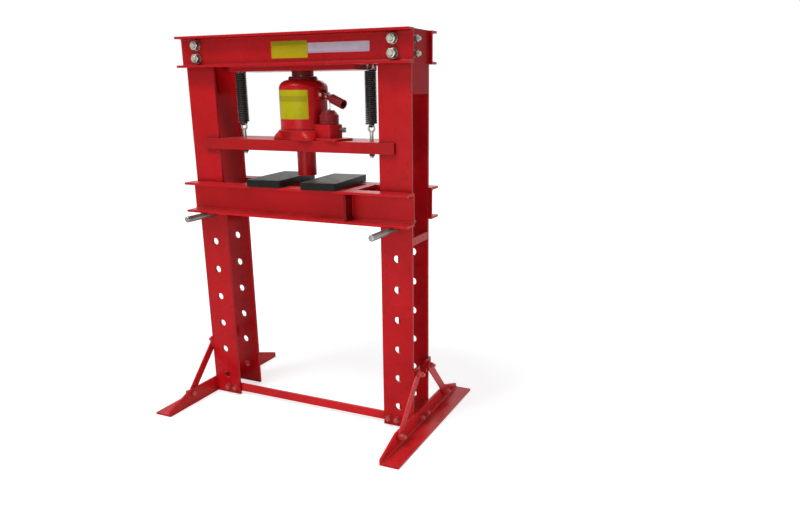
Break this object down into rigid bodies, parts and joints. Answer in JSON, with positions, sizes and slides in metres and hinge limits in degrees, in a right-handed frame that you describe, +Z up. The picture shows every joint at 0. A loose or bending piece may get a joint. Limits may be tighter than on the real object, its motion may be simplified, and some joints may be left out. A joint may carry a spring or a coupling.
{
  "type": "hydraulic press",
  "caption": "Floor-standing hydraulic workshop press: perforated posts, bed on pins with loose plates, and a sprung ram beam driven by a bottle jack.",
  "frame": {"origin": "on the floor, in the middle of the frame", "axes": "+X to the right across the press, +Y to the rear, +Z up"},
  "size_m": [1.31, 0.88, 1.74],
  "materials": {
    "red_paint": "gloss red paint on rolled steel",
    "red_casting": "gloss red paint on a casting",
    "dark_paint": "dark red paint",
    "zinc_plate": "zinc-plated steel",
    "bright_steel": "ground steel",
    "black_steel": "black finish on steel",
    "black_plate": "black finish on thick plate",
    "rubber": "black rubber"
  },
  "bodies": {
    "frame": {"post_left_front": "red_paint", "post_left_rear": "red_paint", "post_right_front": "red_paint", "post_right_rear": "red_paint", "end_plates": "red_paint", "end_clips": "red_paint", "mid_battens": "red_paint", "base_battens": "red_paint", "brace_lugs": "red_paint", "top_channel_front": "red_paint", "top_channel_rear": "red_paint", "thrust_plate": "red_paint", "spring_hangers": "dark_paint", "upper_eyes": "zinc_plate", "upper_eye_nuts": "zinc_plate", "beam_bolts": "zinc_plate", "beam_nuts": "zinc_plate", "beam_washers": "zinc_plate", "frame_bolts": "zinc_plate", "frame_nuts": "zinc_plate", "frame_washers": "zinc_plate", "foot_left": "red_paint", "foot_right": "red_paint", "braces": "red_paint", "tie_bar": "red_paint", "jack_ram": "bright_steel", "jack_screw": "bright_steel", "ram_seal": "rubber"},
    "ram_beam": {"ram_bar_front": "red_paint", "ram_bar_rear": "red_paint", "ram_deck": "red_paint", "ram_straps": "red_paint", "plunger": "red_paint", "jack_base": "red_casting", "jack_tank": "red_paint", "jack_cylinder": "bright_steel", "jack_cap": "dark_paint", "wiper_ring": "rubber", "pump_barrel": "dark_paint", "fulcrum_lugs": "red_paint", "fulcrum_pin": "zinc_plate", "filler_plug": "rubber", "jack_bolts": "zinc_plate", "check_balls": "bright_steel", "lower_eyes": "zinc_plate", "lower_eye_nuts": "black_steel", "spring_left": "black_steel", "spring_right": "black_steel"},
    "bed": {"bed_channel_front": "red_paint", "bed_channel_rear": "red_paint", "bed_ribs": "red_paint", "bed_cross_pieces": "red_paint", "arbor_plate_left": "black_plate", "arbor_plate_right": "black_plate"},
    "bed_pin_left": {"bed_pin_left": "zinc_plate"},
    "bed_pin_right": {"bed_pin_right": "zinc_plate"},
    "pump_lever": {"lever_socket": "dark_paint", "piston_pin": "zinc_plate"},
    "pump_piston": {"pump_piston": "bright_steel"},
    "release_valve": {"release_valve": "zinc_plate"}
  },
  "joints": [
    {"name": "ram_beam_slide", "type": "slide", "parent": "frame", "child": "ram_beam", "axis": [0, 0, 1], "range_m": [-0.1, 0], "stiffness_N_per_m": 5000, "springref_m": 0.2, "deforming": ["spring_left", "spring_right"]},
    {"name": "bed_lift", "type": "slide", "parent": "frame", "child": "bed", "axis": [0, 0, 1], "range_m": [0, 0.015]},
    {"name": "bed_pin_left_slide", "type": "slide", "parent": "frame", "child": "bed_pin_left", "axis": [0, -1, 0], "range_m": [-0.15, 0.3]},
    {"name": "bed_pin_right_slide", "type": "slide", "parent": "frame", "child": "bed_pin_right", "axis": [0, -1, 0], "range_m": [-0.2, 0.25]},
    {"name": "pump_lever_hinge", "type": "hinge", "parent": "ram_beam", "child": "pump_lever", "pos_m": [0.12719, -0.03408, 1.49], "axis": [-0.2588, -0.9659, 0], "range_deg": [0, 50]},
    {"name": "pump_piston_slide", "type": "slide", "parent": "ram_beam", "child": "pump_piston", "axis": [0, 0, 1], "range_m": [0, 0.0213]},
    {"name": "release_valve_turn", "type": "hinge", "parent": "ram_beam", "child": "release_valve", "pos_m": [0.19805, -0.02201, 1.342], "axis": [0.9659, -0.2588, 0], "range_deg": [0, 360]}
  ],
  "couplings": [
    {"joint": "pump_piston_slide", "follows": "pump_lever_hinge", "m_per_rad": 0.024294}
  ]
}
